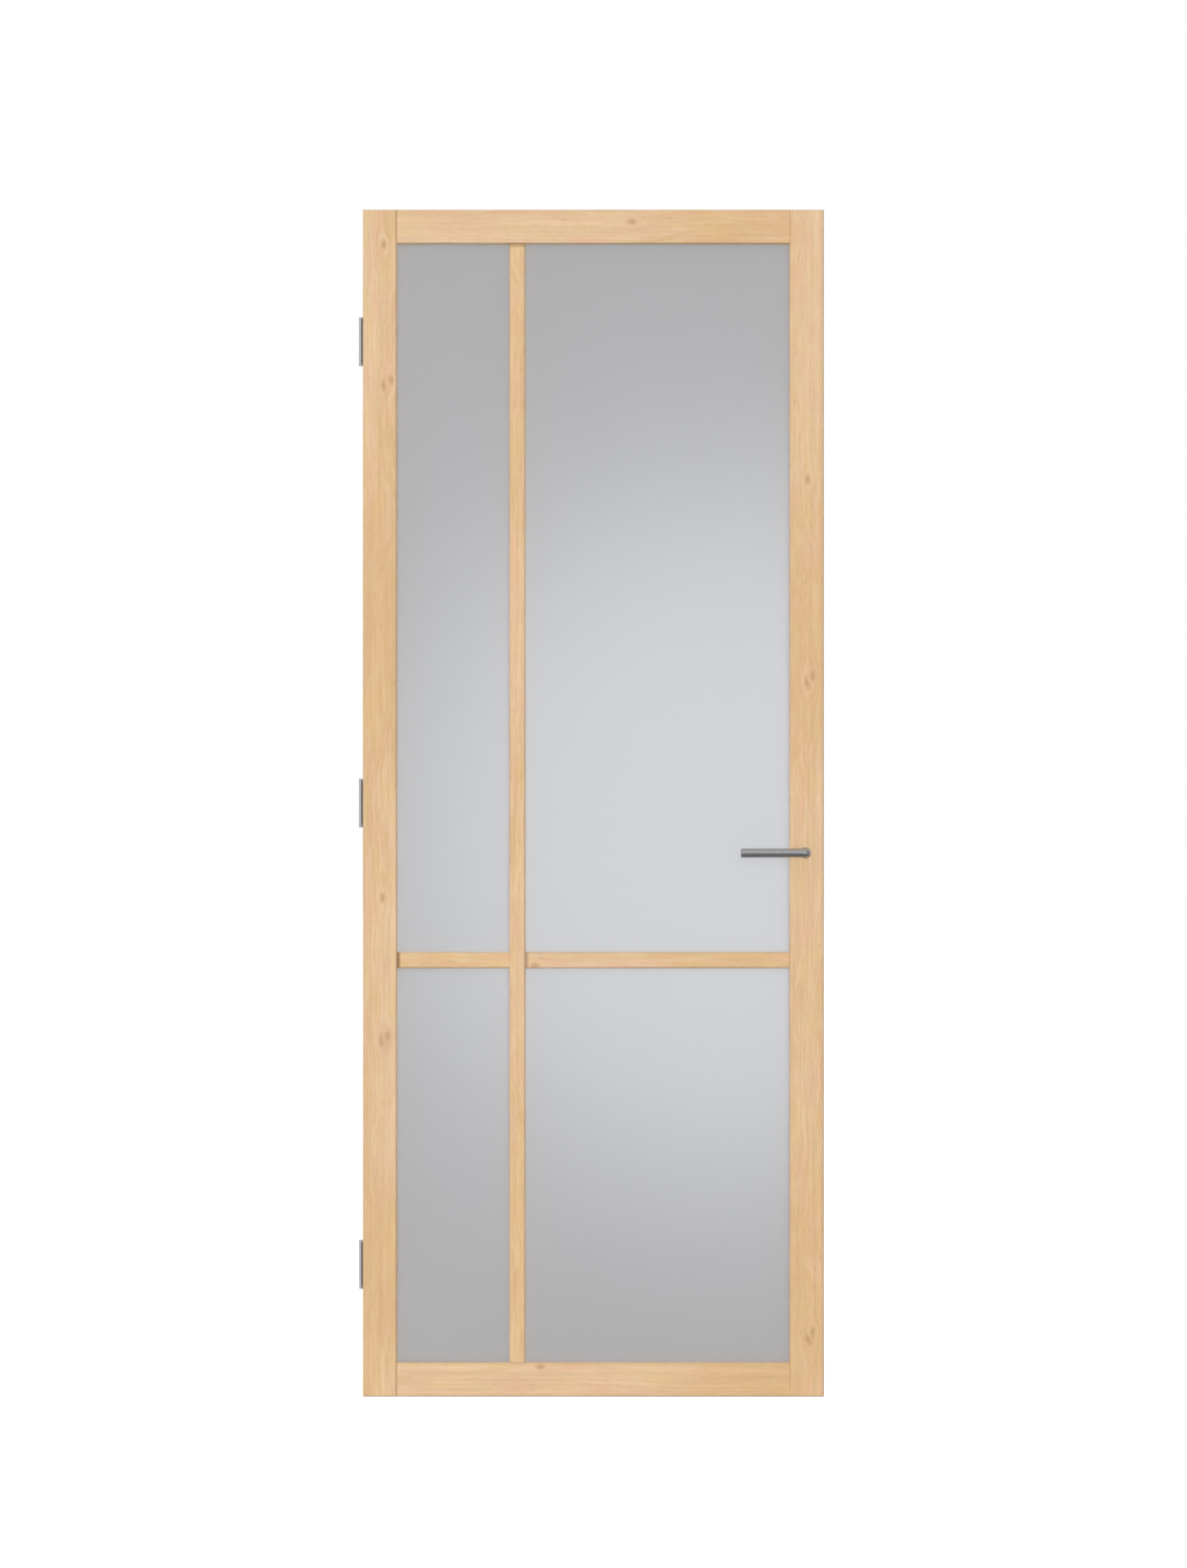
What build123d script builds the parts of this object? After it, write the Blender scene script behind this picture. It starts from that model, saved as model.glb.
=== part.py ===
from build123d import *
import os

# A glazed interior door leaf: an oak frame round one sheet of satin glass, with bars planted
# on both faces of the glass, three butt hinges and a sprung lever set on a magnetic latch.
# Millimetres. The front faces -Y, the hinge edge is at -X and +Z is up. The origin is on the
# back of the lower hinge's frame plate, halfway through the leaf's thickness and halfway up
# that plate.

# Leaf frame
LEAF_WIDTH = 880.0
LEAF_HEIGHT = 2266.0
LEAF_THICKNESS = 40.0
STILE_WIDTH = 65.0
RAIL_WIDTH = 65.0
ARRIS_RADIUS = 2.0
TENON_LENGTH = 30.0
TENON_THICKNESS = 10.0
TENON_MARGIN = 12.0  # from the rail's edges to the tenon's
MORTISE_SPARE = 2.0  # room past the tenon's end

# Glazing
GLASS_THICKNESS = 6.0
GLASS_EDGE_GAP = 2.0
REBATE_WIDTH = 10.0
TAPE_THICKNESS = 2.0
TAPE_WIDTH = 7.0
TAPE_SETBACK = 1.5  # from the sight line into the rebate

# Bars planted on the glass
BAR_WIDTH = 30.0
BAR_ARRIS = 1.5
BAR_END_GAP = 0.5
VERTICAL_BAR_OFFSET = 295.0  # leaf's hinge edge to the bar's centre line
VERTICAL_BAR_RECESS = 3.0  # below the face of the stiles and rails
HORIZONTAL_BAR_HEIGHT = 833.0  # leaf's bottom to the bar's centre line
HORIZONTAL_BAR_RECESS = 6.0

# Butt hinges
HINGE_HEIGHT = 89.0
HINGE_END_DISTANCE = 250.0  # leaf's ends to the centres of the end hinges
DOOR_GAP = 3.0
PLATE_THICKNESS = 3.0
PLATE_MARGIN = 7.0  # leaf's front face to the plates' free edge
PLATE_CORNER_RADIUS = 8.0
PLATE_FIT = 0.1
PIN_RADIUS = 4.0
PIN_CLEARANCE = 0.05
PIN_HEAD_HEIGHT = 2.5
PIN_HEAD_CHAMFER = 1.0
KNUCKLE_WALL = 3.0
KNUCKLE_COUNT = 5
KNUCKLE_GAP = 0.3
KNUCKLE_STANDOFF = 0.5  # barrel to the leaf's back face
SWING_CLEARANCE = 0.4
SCREW_HOLE_RADIUS = 2.4
SCREW_HEAD_RADIUS = 4.2
OUTER_SCREW_SPACING = 68.0
OUTER_SCREW_INSET = 9.0  # from the plate's free edge
INNER_SCREW_SPACING = 28.0
INNER_SCREW_INSET = 22.0

# Lock case, forend and latch
LEVER_HEIGHT = 1038.0  # leaf's bottom to the spindle
BACKSET = 35.0  # leaf's lock edge to the spindle
CASE_DEPTH = 48.0
CASE_HEIGHT = 110.0
CASE_THICKNESS = 16.0
CASE_ARRIS = 1.0
CASE_FIT = 0.5
LOCK_DROP = 15.0  # spindle down to the lock's middle
FOREND_LENGTH = 174.0
FOREND_WIDTH = 20.0
FOREND_THICKNESS = 3.0
FOREND_FIT = 0.1
FOREND_SCREW_INSET = 10.0
LATCH_RISE = 21.0  # spindle up to the latch's middle
LATCH_HEIGHT = 20.0
LATCH_THICKNESS = 11.0
LATCH_LENGTH = 24.0
LATCH_ARRIS = 1.0
LATCH_FIT = 0.3

# Lever set
SPINDLE_WIDTH = 8.0
SPINDLE_FIT = 0.05
SPINDLE_GRIP = 20.0  # length of the spindle inside each lever, past its rose
FOLLOWER_RADIUS = 9.0
RUNNING_CLEARANCE = 0.08
ROSE_RADIUS = 10.5
ROSE_THICKNESS = 2.5
ROSE_CHAMFER = 0.5
ROSE_BOSS_RADIUS = 9.0
ROSE_BOSS_DEPTH = 8.0
ROSE_BOSS_FIT = 0.1
JOURNAL_RADIUS = 7.0
LEVER_RADIUS = 8.5
LEVER_PROJECTION = 45.0  # leaf's face to the grip's centre line
LEVER_REACH = 124.0  # spindle to the grip's free end
LEVER_BEND_RADIUS = 12.0
LEVER_END_CHAMFER = 1.0
LEVER_SEAT_GAP = 0.3
GRUB_BORE_RADIUS = 2.5
GRUB_BORE_OFFSET = 10.0  # from the lever's seat to the bore's axis

SAME_PLACE = 0.001  # two places this close are one

# Places that follow from the sizes
LEAF_LEFT = PLATE_THICKNESS + DOOR_GAP
LEAF_RIGHT = LEAF_LEFT + LEAF_WIDTH
LEAF_BOTTOM = -HINGE_END_DISTANCE
LEAF_TOP = LEAF_BOTTOM + LEAF_HEIGHT
FACE = LEAF_THICKNESS / 2
SIGHT_LEFT = LEAF_LEFT + STILE_WIDTH
SIGHT_RIGHT = LEAF_RIGHT - STILE_WIDTH
SIGHT_BOTTOM = LEAF_BOTTOM + RAIL_WIDTH
SIGHT_TOP = LEAF_TOP - RAIL_WIDTH
REBATE_LEFT = SIGHT_LEFT - REBATE_WIDTH
REBATE_RIGHT = SIGHT_RIGHT + REBATE_WIDTH
REBATE_BOTTOM = SIGHT_BOTTOM - REBATE_WIDTH
REBATE_TOP = SIGHT_TOP + REBATE_WIDTH
GLASS_FACE = GLASS_THICKNESS / 2
TAPE_FACE = GLASS_FACE + TAPE_THICKNESS
BAR_X = LEAF_LEFT + VERTICAL_BAR_OFFSET
BAR_Z = LEAF_BOTTOM + HORIZONTAL_BAR_HEIGHT
KNUCKLE_RADIUS = PIN_RADIUS + PIN_CLEARANCE + KNUCKLE_WALL
KNUCKLE_LENGTH = (HINGE_HEIGHT - (KNUCKLE_COUNT - 1) * KNUCKLE_GAP) / KNUCKLE_COUNT
PIN_X = PLATE_THICKNESS + DOOR_GAP / 2
PIN_Y = FACE + KNUCKLE_STANDOFF + KNUCKLE_RADIUS
PLATE_EDGE_Y = PLATE_MARGIN - FACE
HINGE_TRAVEL = LEAF_HEIGHT - 2 * HINGE_END_DISTANCE
SPINDLE_X = LEAF_RIGHT - BACKSET
SPINDLE_Z = LEAF_BOTTOM + LEVER_HEIGHT
LOCK_Z = SPINDLE_Z - LOCK_DROP
CASE_RIGHT = LEAF_RIGHT - FOREND_THICKNESS
ROSE_FACE = FACE + ROSE_THICKNESS
BOSS_END = FACE - ROSE_BOSS_DEPTH
SPINDLE_END = ROSE_FACE + SPINDLE_GRIP


def block(x_limits, y_limits, z_limits):
    """A box between two limits on each axis, given in either order."""
    limits = [sorted(pair) for pair in (x_limits, y_limits, z_limits)]
    size = [high - low for low, high in limits]
    corner = [low for low, high in limits]
    return Pos(*corner) * Box(*size, align=(Align.MIN, Align.MIN, Align.MIN))


def rod(radius, y_limits):
    """A round bar on the spindle's axis."""
    low, high = sorted(y_limits)
    across = Rot(-90, 0, 0) * Cylinder(radius, high - low, align=(Align.CENTER, Align.CENTER, Align.MIN))
    return Pos(SPINDLE_X, low, SPINDLE_Z) * across


def square_rod(width, y_limits):
    """A square bar on the spindle's axis."""
    half = width / 2
    return block((SPINDLE_X - half, SPINDLE_X + half), y_limits, (SPINDLE_Z - half, SPINDLE_Z + half))


def edges_at(edges, **place):
    """Those edges whose middle lies at each given coordinate, such as X=0."""
    def is_there(edge):
        middle = edge.center()
        return all(abs(getattr(middle, letter) - value) < SAME_PLACE for letter, value in place.items())

    return [edge for edge in edges if is_there(edge)]


def leaf_blank():
    """The leaf's outline, with the rounded arrises that run round its front and back."""
    blank = block((LEAF_LEFT, LEAF_RIGHT), (-FACE, FACE), (LEAF_BOTTOM, LEAF_TOP))
    arrises = blank.edges().filter_by(Axis.X) + blank.edges().filter_by(Axis.Z)
    return fillet(arrises, ARRIS_RADIUS)


def tenon(shoulder_x, outward, rail_edge_z, into_leaf, spare=0.0):
    """The tenon on one end of a rail, or its mortise when spare room is given."""
    middle_y = (FACE - TAPE_FACE) / 2
    half = TENON_THICKNESS / 2
    low = rail_edge_z + into_leaf * TENON_MARGIN
    high = rail_edge_z + into_leaf * (RAIL_WIDTH - REBATE_WIDTH - TENON_MARGIN)
    end_x = shoulder_x + outward * (TENON_LENGTH + spare)
    return block((shoulder_x, end_x), (middle_y - half, middle_y + half), (low, high))


def stile(edge_x, inward):
    """A stile with its lip before the glass, the rebate behind it and a mortise at each end."""
    sight_x = edge_x + inward * STILE_WIDTH
    rebate_x = sight_x - inward * REBATE_WIDTH
    lip = block((edge_x, sight_x), (-FACE, -TAPE_FACE), (LEAF_BOTTOM, LEAF_TOP))
    lip = fillet(edges_at(lip.edges().filter_by(Axis.Z), X=sight_x, Y=-FACE), ARRIS_RADIUS)
    back = block((edge_x, rebate_x), (-TAPE_FACE, FACE), (LEAF_BOTTOM, LEAF_TOP))
    body = (lip + back) & leaf_blank()
    for rail_edge_z, into_leaf in ((LEAF_BOTTOM, 1), (LEAF_TOP, -1)):
        body -= tenon(rebate_x, -inward, rail_edge_z, into_leaf, MORTISE_SPARE)
    return body


def rail(edge_z, inward):
    """A rail with a long shoulder behind the rebated stiles and a tenon on each end."""
    sight_z = edge_z + inward * RAIL_WIDTH
    rebate_z = sight_z - inward * REBATE_WIDTH
    lip = block((SIGHT_LEFT, SIGHT_RIGHT), (-FACE, -TAPE_FACE), (edge_z, sight_z))
    lip = fillet(edges_at(lip.edges().filter_by(Axis.X), Y=-FACE, Z=sight_z), ARRIS_RADIUS)
    back = block((REBATE_LEFT, REBATE_RIGHT), (-TAPE_FACE, FACE), (edge_z, rebate_z))
    body = (lip + back) & leaf_blank()
    for shoulder_x, outward in ((REBATE_LEFT, -1), (REBATE_RIGHT, 1)):
        body += tenon(shoulder_x, outward, edge_z, inward)
    return body


def glass_pane():
    """One sheet of glass that fills the rebates, clear of their walls."""
    return block(
        (REBATE_LEFT + GLASS_EDGE_GAP, REBATE_RIGHT - GLASS_EDGE_GAP),
        (-GLASS_FACE, GLASS_FACE),
        (REBATE_BOTTOM + GLASS_EDGE_GAP, REBATE_TOP - GLASS_EDGE_GAP),
    )


def glazing_tape(side):
    """The tape between the glass and the wood, all round; side is -1 in front and 1 behind."""
    def ring_limits(setback):
        x_limits = (SIGHT_LEFT - setback, SIGHT_RIGHT + setback)
        z_limits = (SIGHT_BOTTOM - setback, SIGHT_TOP + setback)
        return x_limits, (side * GLASS_FACE, side * TAPE_FACE), z_limits

    return block(*ring_limits(TAPE_SETBACK + TAPE_WIDTH)) - block(*ring_limits(TAPE_SETBACK))


def bead(length, place):
    """A mitred glazing bead, made lying along X with its outer face down, then put in place."""
    half = length / 2
    mitres = Polyline(
        (-half, 0),
        (half, 0),
        (half - REBATE_WIDTH, REBATE_WIDTH),
        (REBATE_WIDTH - half, REBATE_WIDTH),
        close=True,
    )
    ends = extrude(Pos(0, FACE, 0) * (Plane.XZ * make_face(mitres)), FACE - TAPE_FACE, dir=(0, -1, 0))
    strip = block((-half, half), (TAPE_FACE, FACE), (0, REBATE_WIDTH))
    strip = fillet(edges_at(strip.edges().filter_by(Axis.X), Y=FACE, Z=REBATE_WIDTH), ARRIS_RADIUS)
    return place * (strip & ends)


def vertical_bar(side):
    """The bar that runs from rail to rail on one face of the glass."""
    front = side * (FACE - VERTICAL_BAR_RECESS)
    left = BAR_X - BAR_WIDTH / 2
    right = BAR_X + BAR_WIDTH / 2
    z_limits = (SIGHT_BOTTOM + BAR_END_GAP, SIGHT_TOP - BAR_END_GAP)
    bar = block((left, right), (side * GLASS_FACE, front), z_limits)
    return fillet(edges_at(bar.edges().filter_by(Axis.Z), Y=front), BAR_ARRIS)


def horizontal_bar(side, x_limits):
    """A length of horizontal bar between a stile and the vertical bar."""
    front = side * (FACE - HORIZONTAL_BAR_RECESS)
    low = BAR_Z - BAR_WIDTH / 2
    high = BAR_Z + BAR_WIDTH / 2
    left, right = x_limits
    bar = block((left + BAR_END_GAP, right - BAR_END_GAP), (side * GLASS_FACE, front), (low, high))
    return fillet(edges_at(bar.edges().filter_by(Axis.X), Y=front), BAR_ARRIS)


def plate(fit=0.0):
    """A hinge plate as it lies on the frame, or its recess when a fit is given."""
    half = HINGE_HEIGHT / 2 + fit
    edge_y = PLATE_EDGE_Y - fit
    body = block((0, PLATE_THICKNESS), (edge_y, PIN_Y), (-half, half))
    return fillet(edges_at(body.edges().filter_by(Axis.X), Y=edge_y), PLATE_CORNER_RADIUS + fit)


def countersunk_hole(y, z):
    """A screw hole through a plate on the frame, countersunk from the door's side."""
    depth = SCREW_HEAD_RADIUS - SCREW_HOLE_RADIUS
    cone = Cone(SCREW_HOLE_RADIUS, SCREW_HEAD_RADIUS, depth, align=(Align.CENTER, Align.CENTER, Align.MAX))
    drill = Cylinder(SCREW_HOLE_RADIUS, PLATE_THICKNESS, align=(Align.CENTER, Align.CENTER, Align.MAX))
    return Pos(PLATE_THICKNESS, y, z) * Rot(0, 90, 0) * (cone + drill)


def screw_holes():
    """The four holes of a plate: an outer pair near its free edge, an inner pair near the pin."""
    outer_y = PLATE_EDGE_Y + OUTER_SCREW_INSET
    inner_y = PLATE_EDGE_Y + INNER_SCREW_INSET
    holes = []
    for y, spacing in ((outer_y, OUTER_SCREW_SPACING), (inner_y, INNER_SCREW_SPACING)):
        holes += [countersunk_hole(y, -spacing / 2), countersunk_hole(y, spacing / 2)]
    return holes


def on_pin(radius, low, high):
    """A round bar on the hinge pin's axis."""
    return Pos(PIN_X, PIN_Y, low) * Cylinder(radius, high - low, align=(Align.CENTER, Align.CENTER, Align.MIN))


def hinge_leaf(first_knuckle):
    """A hinge leaf on the frame, with every second knuckle of the barrel from the given one."""
    leaf = plate()
    for index in range(KNUCKLE_COUNT):
        low = index * (KNUCKLE_LENGTH + KNUCKLE_GAP) - HINGE_HEIGHT / 2
        high = low + KNUCKLE_LENGTH
        if index % 2 == first_knuckle:
            leaf += on_pin(KNUCKLE_RADIUS, low, high)
        else:
            leaf -= on_pin(KNUCKLE_RADIUS + SWING_CLEARANCE, low - KNUCKLE_GAP, high + KNUCKLE_GAP)
    leaf -= on_pin(PIN_RADIUS + PIN_CLEARANCE, -HINGE_HEIGHT, HINGE_HEIGHT)
    for hole in screw_holes():
        leaf -= hole
    return leaf


def frame_leaf():
    """The leaf screwed to the frame, with the end knuckles."""
    return hinge_leaf(0)


def onto_door(shape):
    """Mirrors what lies on the frame across the door gap, onto the leaf's edge."""
    return mirror(shape, about=Plane(origin=(PIN_X, 0, 0), z_dir=(1, 0, 0)))


def door_leaf():
    """The leaf let into the door's edge, with the knuckles between the frame's."""
    return onto_door(hinge_leaf(1))


def hinge_pin():
    """The pin with a button head on each end of the barrel."""
    shoulder = HINGE_HEIGHT / 2
    pin = on_pin(PIN_RADIUS, -shoulder, shoulder)
    top = on_pin(KNUCKLE_RADIUS, shoulder, shoulder + PIN_HEAD_HEIGHT)
    bottom = on_pin(KNUCKLE_RADIUS, -shoulder - PIN_HEAD_HEIGHT, -shoulder)
    top = chamfer(top.edges().sort_by(Axis.Z)[-1], PIN_HEAD_CHAMFER)
    bottom = chamfer(bottom.edges().sort_by(Axis.Z)[0], PIN_HEAD_CHAMFER)
    return pin + top + bottom


def forend_blank(fit=0.0):
    """The forend's outline with round ends, or its recess when a fit is given."""
    half = FOREND_LENGTH / 2 + fit
    width = FOREND_WIDTH / 2 + fit
    bar = block((CASE_RIGHT, LEAF_RIGHT), (-width, width), (LOCK_Z - half, LOCK_Z + half))
    return fillet(bar.edges().filter_by(Axis.X), 0.99 * width)


def latch_body(fit=0.0):
    """The latch head, flush with the forend, or its opening when a fit is given."""
    middle_z = SPINDLE_Z + LATCH_RISE
    half_z = LATCH_HEIGHT / 2 + fit
    half_y = LATCH_THICKNESS / 2 + fit
    inner_x = LEAF_RIGHT - LATCH_LENGTH - fit
    return block((inner_x, LEAF_RIGHT), (-half_y, half_y), (middle_z - half_z, middle_z + half_z))


def latch_bolt():
    """The magnetic latch head at rest, drawn back into the forend."""
    bolt = latch_body()
    return fillet(edges_at(bolt.edges(), X=LEAF_RIGHT), LATCH_ARRIS)


def forend():
    """The forend with the latch's opening and a countersunk hole near each end."""
    body = forend_blank() - latch_body(LATCH_FIT)
    depth = SCREW_HEAD_RADIUS - SCREW_HOLE_RADIUS
    cone = Cone(SCREW_HOLE_RADIUS, SCREW_HEAD_RADIUS, depth, align=(Align.CENTER, Align.CENTER, Align.MAX))
    drill = Cylinder(SCREW_HOLE_RADIUS, FOREND_THICKNESS, align=(Align.CENTER, Align.CENTER, Align.MAX))
    for end in (-1, 1):
        z = LOCK_Z + end * (FOREND_LENGTH / 2 - FOREND_SCREW_INSET)
        body -= Pos(LEAF_RIGHT, 0, z) * Rot(0, 90, 0) * (cone + drill)
    return body


def case_blank(fit=0.0):
    """The lock case's outline, or its mortise when a fit is given."""
    half_z = CASE_HEIGHT / 2 + fit
    half_y = CASE_THICKNESS / 2 + fit
    left = CASE_RIGHT - CASE_DEPTH - fit
    return block((left, CASE_RIGHT), (-half_y, half_y), (LOCK_Z - half_z, LOCK_Z + half_z))


def lock_case():
    """The closed case behind the forend, bored for the follower and slotted for the latch."""
    body = case_blank()
    body = fillet(edges_at(body.edges(), X=CASE_RIGHT - CASE_DEPTH), CASE_ARRIS)
    body -= latch_body(LATCH_FIT)
    return body - rod(FOLLOWER_RADIUS + RUNNING_CLEARANCE, (-CASE_THICKNESS, CASE_THICKNESS))


def lock_follower():
    """The follower that the spindle turns in the case."""
    body = rod(FOLLOWER_RADIUS, (-CASE_THICKNESS / 2, CASE_THICKNESS / 2))
    return body - square_rod(SPINDLE_WIDTH + 2 * SPINDLE_FIT, (-CASE_THICKNESS, CASE_THICKNESS))


def spindle():
    """The square bar that joins both levers through the follower."""
    return square_rod(SPINDLE_WIDTH, (-SPINDLE_END, SPINDLE_END))


def rose():
    """The front rose: a round plate on the stile with a boss in it and the journal's bore."""
    disc = rod(ROSE_RADIUS, (-ROSE_FACE, -FACE))
    disc = chamfer(disc.edges().sort_by(Axis.Y)[0], ROSE_CHAMFER)
    boss = rod(ROSE_BOSS_RADIUS, (-FACE, -BOSS_END))
    return disc + boss - rod(JOURNAL_RADIUS + RUNNING_CLEARANCE, (-ROSE_FACE, -BOSS_END))


def lever():
    """The front lever: a round bar bent from its neck into a level grip, bored for a grub screw."""
    grip_y = -FACE - LEVER_PROJECTION
    base_y = -ROSE_FACE - LEVER_SEAT_GAP
    route = FilletPolyline(
        (SPINDLE_X, base_y, SPINDLE_Z),
        (SPINDLE_X, grip_y, SPINDLE_Z),
        (SPINDLE_X - LEVER_REACH, grip_y, SPINDLE_Z),
        radius=LEVER_BEND_RADIUS,
    )
    start = Plane(origin=(SPINDLE_X, base_y, SPINDLE_Z), z_dir=(0, -1, 0))
    bar = sweep(start * Circle(LEVER_RADIUS), path=route)
    bar = chamfer(bar.edges().sort_by(Axis.X)[0], LEVER_END_CHAMFER)
    bar += rod(JOURNAL_RADIUS, (base_y, -BOSS_END))
    bore = Cylinder(GRUB_BORE_RADIUS, 2 * LEVER_RADIUS, align=(Align.CENTER, Align.CENTER, Align.MAX))
    bar -= Pos(SPINDLE_X, base_y - GRUB_BORE_OFFSET, SPINDLE_Z) * bore
    return bar - square_rod(SPINDLE_WIDTH + 2 * SPINDLE_FIT, (-SPINDLE_END, -BOSS_END))


def to_back(shape):
    """Mirrors what is on the leaf's front onto its back."""
    return mirror(shape, about=Plane.XZ)


def hinge_stile():
    """The stile at the hinges, with a recess for each hinge's door leaf."""
    body = stile(LEAF_LEFT, 1)
    for height in hinge_heights().values():
        body -= Pos(0, 0, height) * onto_door(plate(PLATE_FIT))
    return body


def lock_stile():
    """The stile at the lock, cut for the case, the forend and the roses."""
    body = stile(LEAF_RIGHT, -1)
    body -= case_blank(CASE_FIT)
    body -= forend_blank(FOREND_FIT)
    return body - rod(ROSE_BOSS_RADIUS + ROSE_BOSS_FIT, (-FACE, FACE))


def hinge_heights():
    """The heights of the three hinges' centres."""
    return {"lower": 0.0, "middle": HINGE_TRAVEL / 2, "upper": HINGE_TRAVEL}


def leaf_pieces():
    """The leaf's wood, glass, tapes and beads."""
    middle_x = (REBATE_LEFT + REBATE_RIGHT) / 2
    middle_z = (REBATE_BOTTOM + REBATE_TOP) / 2
    across = REBATE_RIGHT - REBATE_LEFT
    upright = REBATE_TOP - REBATE_BOTTOM
    return {
        "hinge_stile": hinge_stile(),
        "lock_stile": lock_stile(),
        "top_rail": rail(LEAF_TOP, -1),
        "bottom_rail": rail(LEAF_BOTTOM, 1),
        "glass_pane": glass_pane(),
        "front_glazing_tape": glazing_tape(-1),
        "back_glazing_tape": glazing_tape(1),
        "bottom_bead": bead(across, Pos(middle_x, 0, REBATE_BOTTOM)),
        "top_bead": bead(across, Pos(middle_x, 0, REBATE_TOP) * Rot(0, 180, 0)),
        "hinge_side_bead": bead(upright, Pos(REBATE_LEFT, 0, middle_z) * Rot(0, 90, 0)),
        "lock_side_bead": bead(upright, Pos(REBATE_RIGHT, 0, middle_z) * Rot(0, -90, 0)),
    }


def bar_pieces():
    """The three lengths of bar on each face of the glass."""
    left_limits = (SIGHT_LEFT, BAR_X - BAR_WIDTH / 2)
    right_limits = (BAR_X + BAR_WIDTH / 2, SIGHT_RIGHT)
    pieces = {}
    for name, side in (("front", -1), ("back", 1)):
        pieces[f"{name}_vertical_bar"] = vertical_bar(side)
        pieces[f"{name}_horizontal_bar_left"] = horizontal_bar(side, left_limits)
        pieces[f"{name}_horizontal_bar_right"] = horizontal_bar(side, right_limits)
    return pieces


def lock_pieces():
    """The lock, the roses and the lever set."""
    return {
        "lock_case": lock_case(),
        "forend": forend(),
        "latch_bolt": latch_bolt(),
        "lock_follower": lock_follower(),
        "spindle": spindle(),
        "front_rose": rose(),
        "back_rose": to_back(rose()),
        "front_lever": lever(),
        "back_lever": to_back(lever()),
    }


def hinge_pieces():
    """A frame leaf, a door leaf and a pin for each hinge."""
    pieces = {}
    for name, height in hinge_heights().items():
        place = Pos(0, 0, height)
        pieces[f"{name}_hinge_frame_leaf"] = place * frame_leaf()
        pieces[f"{name}_hinge_door_leaf"] = place * door_leaf()
        pieces[f"{name}_hinge_pin"] = place * hinge_pin()
    return pieces


os.makedirs("parts", exist_ok=True)
for node, shape in {**leaf_pieces(), **bar_pieces(), **lock_pieces(), **hinge_pieces()}.items():
    export_step(shape, f"parts/{node}.step")
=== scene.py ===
"""Dresses the glazed interior door: oiled oak, satin glass, brushed steel, fastenings and a studio."""
import math

import bpy
from bpy.props import FloatProperty, FloatVectorProperty, IntProperty, PointerProperty
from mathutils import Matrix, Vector


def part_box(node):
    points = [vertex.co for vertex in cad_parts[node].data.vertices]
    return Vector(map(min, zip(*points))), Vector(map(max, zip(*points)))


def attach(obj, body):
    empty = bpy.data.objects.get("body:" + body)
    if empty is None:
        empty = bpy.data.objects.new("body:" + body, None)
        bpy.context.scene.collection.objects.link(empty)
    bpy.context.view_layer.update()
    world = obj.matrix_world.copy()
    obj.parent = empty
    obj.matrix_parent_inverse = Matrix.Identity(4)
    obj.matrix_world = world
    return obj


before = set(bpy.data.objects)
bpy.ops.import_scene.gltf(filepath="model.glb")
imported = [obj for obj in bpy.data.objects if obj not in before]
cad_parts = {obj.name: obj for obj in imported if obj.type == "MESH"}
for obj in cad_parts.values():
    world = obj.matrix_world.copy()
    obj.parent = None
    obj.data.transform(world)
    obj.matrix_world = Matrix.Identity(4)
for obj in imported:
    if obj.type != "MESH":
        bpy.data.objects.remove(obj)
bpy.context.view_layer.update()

bl_info = {
    "name": "Glazed Oak Door",
    "version": (1, 0, 0),
    "blender": (4, 5, 0),
    "location": "3D View > Sidebar > Door",
    "description": "Finishes a glazed oak door, adds its small fastenings and sets a plain studio round it",
    "category": "Object",
}

WHITE = (1.0, 1.0, 1.0, 1.0)

# The places that the frame gives
LEAF_LOW, LEAF_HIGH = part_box("hinge_stile")[0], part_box("lock_stile")[1]
LEVER_LOW, LEVER_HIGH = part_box("front_lever")
FOREND_LOW, FOREND_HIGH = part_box("forend")
SPINDLE_LOW, SPINDLE_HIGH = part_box("spindle")
SPINDLE_X = (SPINDLE_LOW.x + SPINDLE_HIGH.x) / 2
SPINDLE_Z = (SPINDLE_LOW.z + SPINDLE_HIGH.z) / 2
HINGES = ("lower", "middle", "upper")

# Each oak member: the axis its grain runs along, its knots as (place across the face, place along
# the grain), and its warmer stretches as (middle along the grain, strength). Metres, in the door's frame.
OAK_MEMBERS = {
    "hinge_stile": (
        "Z",
        (
            (0.0590, 1.691), (0.0500, 1.682), (0.0530, 0.438), (0.0460, 0.430), (0.0450, 1.950),
            (0.0440, 0.703),
        ),
        ((1.210, 1.0), (-0.020, 1.0), (0.320, 0.35)),
    ),
    "lock_stile": (
        "Z",
        ((0.8650, 1.126), (0.8580, 1.115), (0.8650, -0.127), (0.8590, -0.138), (0.8550, 1.501)),
        ((1.180, 0.8), (-0.040, 0.8)),
    ),
    "top_rail": ("X", ((1.9934, 0.5195),), ((0.780, 0.8),)),
    "bottom_rail": ("X", ((-0.192, 0.345),), ((0.800, 1.0),)),
    "front_vertical_bar": ("Z", (), ((1.420, 0.4), (0.200, 0.3))),
    "front_horizontal_bar_left": ("X", (), ()),
    "front_horizontal_bar_right": ("X", ((0.573, 0.335),), ((0.800, 0.8),)),
    "back_vertical_bar": ("Z", ((0.303, 1.420),), ((0.300, 0.8),)),
    "back_horizontal_bar_left": ("X", (), ((0.180, 0.8),)),
    "back_horizontal_bar_right": ("X", (), ((0.450, 0.8),)),
    "bottom_bead": ("X", (), ((0.300, 0.8),)),
    "top_bead": ("X", (), ((0.650, 0.8),)),
    "hinge_side_bead": ("Z", (), ((1.500, 0.8),)),
    "lock_side_bead": ("Z", (), ((0.200, 0.8),)),
}

# The members that are a little darker or lighter than the rest
MEMBER_LIGHTNESS = {
    "bottom_rail": 0.99,
    "front_vertical_bar": 1.025,
    "front_horizontal_bar_left": 1.04,
    "front_horizontal_bar_right": 1.02,
}

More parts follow.
